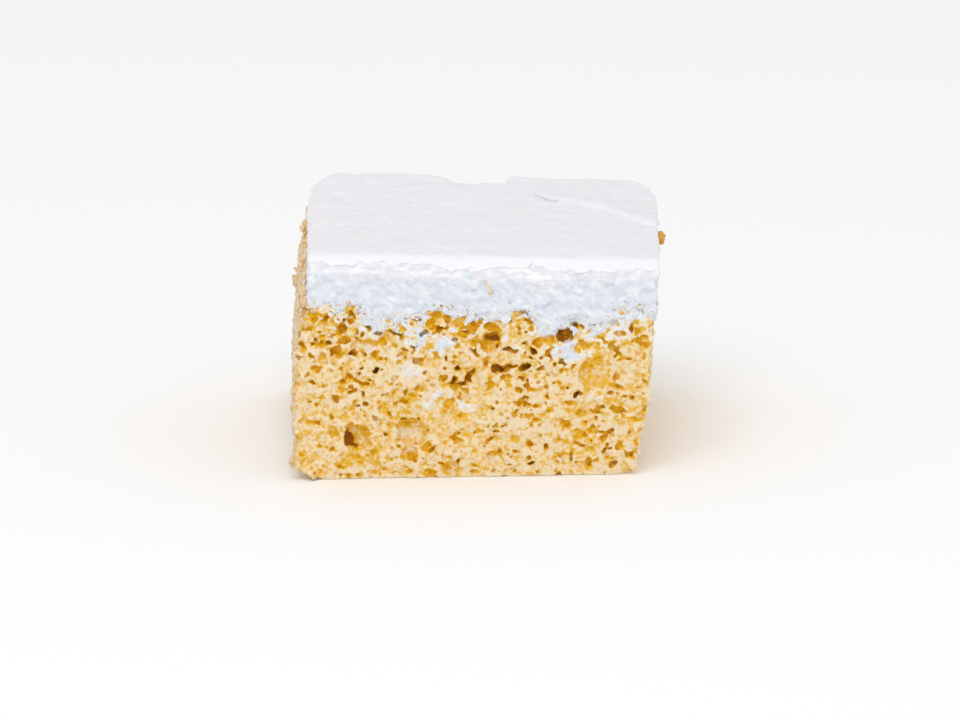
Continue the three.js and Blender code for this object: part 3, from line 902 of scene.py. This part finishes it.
class Nodes:
    """Short words for making a material's nodes."""

    def __init__(self, name):
        self.material = bpy.data.materials.new(name)
        self.material.use_nodes = True
        self.tree = self.material.node_tree
        self.shader = self.tree.nodes["Principled BSDF"]

    def add(self, kind, **inputs):
        node = self.tree.nodes.new(kind)
        self.fill(node, inputs)
        return node

    def fill(self, node, inputs):
        for key, value in inputs.items():
            self.set(node, key, value)

    def set(self, node, key, value):
        socket = node.inputs[key]
        if isinstance(value, bpy.types.NodeSocket):
            self.tree.links.new(value, socket)
        else:
            socket.default_value = value

    def soft(self, weight, radius, scale):
        """Lets light in under the surface."""
        inputs = {"Weight": weight, "Radius": radius, "Scale": scale}
        self.fill(self.shader, {f"Subsurface {key}": value for key, value in inputs.items()})

    def finish(self, inputs):
        """The material, with the shader's other inputs set."""
        self.fill(self.shader, inputs)
        return self.material

    def attribute(self, name):
        node = self.add("ShaderNodeAttribute")
        node.attribute_name = name
        return node.outputs["Fac"]

    def place(self):
        return self.add("ShaderNodeTexCoord").outputs["Object"]

    def coordinate(self, axis):
        """The place along one axis, with 50 mm as 1."""
        parts = self.add("ShaderNodeSeparateXYZ", Vector=self.place()).outputs
        return self.math("MULTIPLY", parts[axis], RAMP_SCALE)

    def scaled(self, *scale):
        """The place scaled, for stretched noise."""
        return self.add("ShaderNodeMapping", Vector=self.place(), Scale=scale).outputs[0]

    def slanted(self, angle, stretch):
        """The place turned and drawn out, for noise in slanting strokes."""
        node = self.add("ShaderNodeMapping", Vector=self.place(), Rotation=(0.0, angle, 0.0),
                        Scale=(stretch, 1.0, 1.0))
        node.vector_type = "TEXTURE"
        return node.outputs[0]

    def noise(self, scale, detail=4.0, roughness=0.55, place=None):
        if place is None:
            place = self.place()
        node = self.add("ShaderNodeTexNoise", Vector=place, Scale=scale, Detail=detail, Roughness=roughness)
        return node.outputs["Fac"]

    def math(self, operation, a, b):
        node = self.add("ShaderNodeMath")
        node.operation = operation
        self.set(node, 0, a)
        self.set(node, 1, b)
        return node.outputs[0]

    def plus(self, value, added, share):
        """A value with a share of another one added."""
        return self.math("ADD", value, self.math("MULTIPLY", added, share))

    def sway(self, noise, height):
        """Noise as a change to either side of zero."""
        return self.math("MULTIPLY", self.math("SUBTRACT", noise, 0.5), height)

    def ramp(self, value, stops):
        node = self.add("ShaderNodeValToRGB", Fac=value)
        elements = node.color_ramp.elements
        while len(elements) < len(stops):
            elements.new(0.5)
        for element, (at, colour) in zip(elements, stops):
            element.position = at
            element.color = colour
        return node.outputs["Color"]

    def fade(self, value, start, end):
        """0 up to where a value starts, and 1 from where it ends."""
        return self.ramp(value, [(start, BLACK), (end, WHITE)])

    def line(self, name, scale, stops):
        """A line along a painted distance: stops are distances in millimetres and shares."""
        at = self.math("ADD", self.math("MULTIPLY", self.attribute(name), scale), 0.5)
        return self.ramp(at, [(0.5 + scale * d, (s, s, s, 1)) for d, s in stops])

    def mix(self, share, first, second):
        node = self.add("ShaderNodeMix")
        node.data_type = "RGBA"
        self.set(node, "Factor", share)
        self.set(node, 6, first)
        self.set(node, 7, second)
        return node.outputs[2]

    def bump(self, height, strength, distance):
        node = self.add("ShaderNodeBump", Height=height, Strength=strength, Distance=distance)
        return node.outputs["Normal"]


# Painted shade: pit, depth, carved and airy darken the hollows, which are partly golden crumb, steep
# darkens walls and under darkens surfaces that face down
TONE_SHARES = (  # how much each painted value darkens the crumb
    ("pit", 0.9), ("depth", 0.25), ("carved", 0.35), ("airy", 0.1), ("steep", 0.2), ("under", 0.2),
    ("pores", 0.09), ("shade_and_stain", 0.45),
)
TONE_START = 0.35  # tone of the palest crumb


def sponge_colour(n, fine, specks):
    """Pale ridges and golden hollows with painted shade, brown stains with painted shade and light, the
    browned left side and a film of cream.
    """
    # the tone darkens where the fine bump sinks: painted shade in the small hollows, with golden crumb
    tone = n.math("ADD", n.sway(fine, 1.9), n.sway(n.noise(650.0, 3.0, 0.6), 0.7))
    tone = n.plus(tone, specks, 0.22)
    for name, share in TONE_SHARES:
        tone = n.plus(tone, n.attribute(name), share)
    tone = n.plus(tone, n.fade(n.coordinate(2), 0.42, 0.66), 0.1)
    colour = n.ramp(n.math("SUBTRACT", tone, TONE_START), [
        (0.0, srgb(255, 231, 194)), (0.2, srgb(252, 211, 138)), (0.36, srgb(246, 198, 92)),
        (0.55, srgb(246, 194, 48)), (0.78, srgb(242, 186, 20)), (1.0, srgb(226, 160, 4)),
    ])
    # painted shade with the stain: dark bubble sides, rims and pits turn brown
    shade_and_stain_tone = n.math("ADD", n.attribute("shade_and_stain"), n.sway(fine, 0.8))
    brown = n.ramp(shade_and_stain_tone, [(0.75, srgb(206, 140, 8)), (1.0, srgb(150, 88, 0))])
    colour = n.mix(n.fade(shade_and_stain_tone, 0.5, 0.85), colour, brown)
    skin = n.ramp(n.noise(800.0, 3.0, 0.6), [
        (0.36, srgb(196, 146, 82)), (0.5, srgb(222, 192, 146)), (0.64, srgb(238, 220, 194)),
    ])
    colour = n.mix(n.math("MULTIPLY", n.attribute("crust"), 0.6), colour, skin)
    hollow = n.math("ADD", n.attribute("pit"), n.attribute("carved"))
    veil = n.math("SUBTRACT", n.attribute("film"), hollow)
    veil = n.plus(veil, n.attribute("shade_and_stain"), -0.6)
    veil = n.math("ADD", veil, n.sway(n.noise(2600.0, 2.0), 2.2))
    shown = n.fade(n.math("ADD", veil, 0.27), 0.15, 0.6)
    white = n.ramp(veil, [(0.15, srgb(255, 240, 216)), (0.6, srgb(249, 248, 250))])
    return n.mix(shown, colour, white)


def sponge_material():
    n = Nodes("sponge_crumb")
    fine = n.noise(1300.0, 5.0, 0.75)
    specks = n.fade(n.noise(1900.0, 2.0, 0.6), 0.58, 0.68)
    hollow = n.plus(n.math("MULTIPLY", fine, -1.0), specks, -0.3)
    n.soft(0.3, (1.0, 0.55, 0.15), 0.0008)
    return n.finish({
        "Base Color": sponge_colour(n, fine, specks), "Roughness": 0.55, "Specular IOR Level": 0.2,
        "Normal": n.bump(hollow, 0.7, 0.0006),
    })


def crumb_material():
    """Pale flakes, tan specks and golden lumps, by the tint painted on each crumb."""
    n = Nodes("loose_crumb")
    tint = n.math("ADD", n.attribute("tint"), n.sway(n.noise(1500.0), 0.4))
    colour = n.ramp(tint, [
        (0.0, srgb(244, 228, 206)), (0.4, srgb(214, 178, 128)), (0.65, srgb(178, 132, 78)),
        (1.0, srgb(224, 170, 62)),
    ])
    n.soft(0.3, (1.0, 0.6, 0.25), 0.0008)
    return n.finish({
        "Base Color": colour, "Roughness": 0.6, "Normal": n.bump(n.noise(2600.0), 0.5, 0.0004),
    })


def cream_shadow_lines(n):
    """Share of the thin painted shadow lines: the first step, fine layers at the right, the lip and the
    crack.
    """
    first = n.line("step", 0.5, [(-0.25, 0), (0.05, 0.28), (0.4, 0.24), (1.1, 0)])
    rightward = n.ramp(n.coordinate(0), [(0.05, (0.15, 0.15, 0.15, 1)), (0.5, WHITE)])
    strata = n.line("step", 0.2, [
        (0.55, 0), (0.65, 0.4), (0.8, 0), (1.05, 0), (1.15, 0.5), (1.3, 0), (1.6, 0), (1.7, 0.3), (1.85, 0),
    ])
    lines = n.math("MAXIMUM", first, n.math("MULTIPLY", strata, rightward))
    lip = n.line("lip", 0.3, [(0.5, 0), (0.7, 0.35), (0.9, 0), (1.2, 0), (1.35, 0.25), (1.5, 0)])
    lines = n.math("MAXIMUM", lines, lip)
    broken = n.fade(n.noise(600.0, 4.0, 0.65), 0.42, 0.62)
    crack = n.line("crack", 0.5, [(0.1, 0.55), (0.4, 0)])
    return n.math("MAXIMUM", n.math("MULTIPLY", lines, broken), crack)


def cream_colour(n, highlit_lumps, dabs):
    """Grey-white top and a whiter front as painted light, painted light and shade on the dabs below the
    first step, bluish painted shade with painted highlights in the rough band, painted shadow lines, a
    painted highlight on the flap's edge and crumb dust.
    """
    # painted shade: the rough band is bluish grey, with painted highlights where its lumps stand highest
    bluish = n.ramp(highlit_lumps, [
        (0.35, srgb(219, 225, 236)), (0.53, srgb(228, 233, 241)), (0.69, srgb(245, 247, 250)),
    ])
    # painted light and shade on the dabbed lumps below the first step
    dab_light_and_shade = n.ramp(dabs, [
        (0.38, srgb(229, 227, 230)), (0.5, srgb(237, 236, 240)), (0.62, srgb(248, 248, 251)),
    ])
    # painted light: the front under the upper edge is whiter than the top
    colour = n.mix(n.attribute("bevel"), srgb(235, 233, 237), srgb(243, 242, 246))
    colour = n.mix(n.line("step", 0.2, [(-0.2, 0), (0.6, 1)]), colour, dab_light_and_shade)
    # painted highlight along the torn flap's edge
    ridge = n.line("tear", 0.3, [(-1.4, 0), (-0.4, 0.5), (0.5, 0)])
    colour = n.mix(ridge, colour, srgb(252, 251, 253))
    colour = n.mix(n.attribute("band"), colour, bluish)
    # painted shadow: the grey of the lines under steps and layers, at the lip and in the crack
    colour = n.mix(cream_shadow_lines(n), colour, srgb(196, 192, 198))
    dust = n.fade(n.plus(n.noise(3200.0, 3.0), n.attribute("low"), -0.12), 0.5, 0.56)
    return n.mix(n.math("MULTIPLY", dust, 0.6), colour, srgb(214, 180, 132))


def cream_material():
    n = Nodes("whipped_cream")
    # noise of the band's lumps, also painted as highlights in its colour
    highlit_lumps = n.noise(1000.0, 4.0, 0.62, place=n.slanted(0.6, 2.2))
    dabs = n.noise(700.0, 3.0, 0.5, place=n.scaled(0.4, 1.0, 1.0))
    drawn = n.noise(2600.0, 2.0, 0.5, place=n.scaled(0.06, 0.06, 1.0))
    lumps = n.math("MULTIPLY", highlit_lumps, n.math("MULTIPLY", n.attribute("band"), 0.3))
    strokes = n.math("MULTIPLY", drawn, n.math("MULTIPLY", n.attribute("bevel"), 0.22))
    strokes = n.plus(strokes, dabs, 0.12)
    upper = n.math("ADD", n.line("step", 0.5, [(-0.1, 0.12), (0.1, 0)]), strokes)
    layers = n.math("MULTIPLY", upper, n.math("SUBTRACT", 1.0, n.attribute("band")))
    n.soft(0.2, (1.0, 0.9, 0.8), 0.0006)
    return n.finish({
        "Base Color": cream_colour(n, highlit_lumps, dabs), "Roughness": 0.45,
        "Normal": n.bump(n.math("ADD", lumps, layers), 1.0, 0.001),
    })


def floor_material():
    n = Nodes("floor")
    return n.finish({"Base Color": (0.97, 0.97, 0.97, 1.0), "Roughness": 0.9, "Specular IOR Level": 0.1})


for pieces, node, slot, material in (
    (sponge, "sponge", "sponge_crumb", sponge_material()),
    ([cream], "cream", "whipped_cream", cream_material()),
):
    for piece in pieces:
        piece.data.materials.append(material)
        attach(piece, "root")
        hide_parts(node)


def surface_from(start, inward):
    """Where a straight line into the cake first meets it, in millimetres, or None."""
    line = np.array(start) + np.arange(0, RAY_LENGTH, RAY_STEP)[:, None] * np.array(inward)
    inside = sample(cake_field, line) < 0
    return line[inside.argmax()] if inside.any() else None


def crumb_mesh(made, tint, centre, radii, tilt, fineness=2):
    """Adds one uneven crumb to a mesh in the making."""
    layer = made.verts.layers.float["tint"]
    ball = bmesh.ops.create_icosphere(made, subdivisions=fineness, radius=1.0)["verts"]
    turn = Matrix.Rotation(tilt, 3, "Y")
    for vertex in ball:
        uneven = 1 + rng.uniform(-CRUMB_UNEVEN, CRUMB_UNEVEN)
        place = turn @ Vector(vertex.co * uneven * Vector(radii))
        vertex.co = (Vector(centre) + place) * METRES
        vertex[layer] = tint


def specks():
    """Places and sizes of small crumbs, in clumps along the cream's lower edge."""
    places, inward = cut_places(SPECK_CLUMPS, (SPONGE_HEIGHT, SPONGE_HEIGHT + 1))
    for i in rng.integers(SPECK_CLUMPS, size=SPECKS):
        aside = np.array([inward[i][1], inward[i][0], 0]) * rng.normal(0, SPECK_SPREAD)
        place = places[i] + aside - SPECK_START * inward[i]
        level = joint_level(*(places[i] + aside)[:2])
        place[2] = level + rng.uniform(*SPECK_LEVELS) + SPECK_CLIMB * rng.random() ** 3
        ground = surface_from(place, inward[i])
        if ground is not None:
            yield ground, rng.uniform(*SPECK_RADII)


def loose_crumbs():
    """One piece of all the crumbs that stick to the cream."""
    made = bmesh.new()
    made.verts.layers.float.new("tint")
    for centre, size in specks():
        radii = (size * rng.uniform(*SPECK_STRETCH), size, size)
        crumb_mesh(made, rng.uniform(*SPECK_TINTS), centre, radii, rng.uniform(-1, 1), fineness=1)
    for x, z, radii, tilt in FLAKES:
        place = surface_from((x, FRONT - FLAKE_START, z), (0, 1, 0))
        crumb_mesh(made, FLAKE_TINT, place, radii, tilt)
    for y, z, size in SIDE_CRUMBS:
        wide = size * SIDE_CRUMB_WIDTH
        place = (CREAM_RIGHT + SIDE_CRUMB_OUT, y, z)
        crumb_mesh(made, SIDE_CRUMB_TINT, place, (wide, wide, size), SIDE_CRUMB_TILT)
    mesh = bpy.data.meshes.new("loose_crumbs")
    made.to_mesh(mesh)
    made.free()
    mesh.shade_smooth()
    mesh.materials.append(crumb_material())
    return in_scene("loose_crumbs", mesh)


crumbs = loose_crumbs()
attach(crumbs, "root")

# Stage
bpy.ops.mesh.primitive_plane_add(size=FLOOR_SIZE)
floor = bpy.context.object
floor.name = "floor"
floor.data.materials.append(floor_material())
floor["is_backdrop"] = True

# Light
light = in_scene("key", bpy.data.lights.new("key", "AREA"))
light.data.size = LIGHT_SIZE
light.data.energy = LIGHT_POWER
light.location = LIGHT_PLACE
light.rotation_mode = "QUATERNION"
light.rotation_quaternion = (Vector(LIGHT_AIM) - Vector(LIGHT_PLACE)).to_track_quat("-Z", "Y")

world = bpy.data.worlds.new("studio")
world.use_nodes = True
sky = world.node_tree.nodes["Background"].inputs
sky["Color"].default_value = WHITE
sky["Strength"].default_value = WORLD_LIGHT
scene.world = world
scene.view_settings.view_transform = "Standard"

# Camera
camera = in_scene("camera", bpy.data.cameras.new("camera"))
towards = Vector((0, math.cos(VIEW_ELEVATION), -math.sin(VIEW_ELEVATION)))
turn = towards.to_track_quat("-Z", "Y").to_matrix().to_4x4() @ Matrix.Rotation(VIEW_ROLL, 4, "Z")
camera.matrix_world = Matrix.Translation(VIEW_CENTRE - towards * VIEW_DISTANCE) @ turn
camera.data.lens = camera.data.sensor_width * VIEW_DISTANCE / VIEW_WIDTH
camera.data.clip_end = VIEW_END
scene.camera = camera

boxes = {"cad": cad_box, "visual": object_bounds()}
{name: [list(corner) for corner in box] for name, box in boxes.items()}
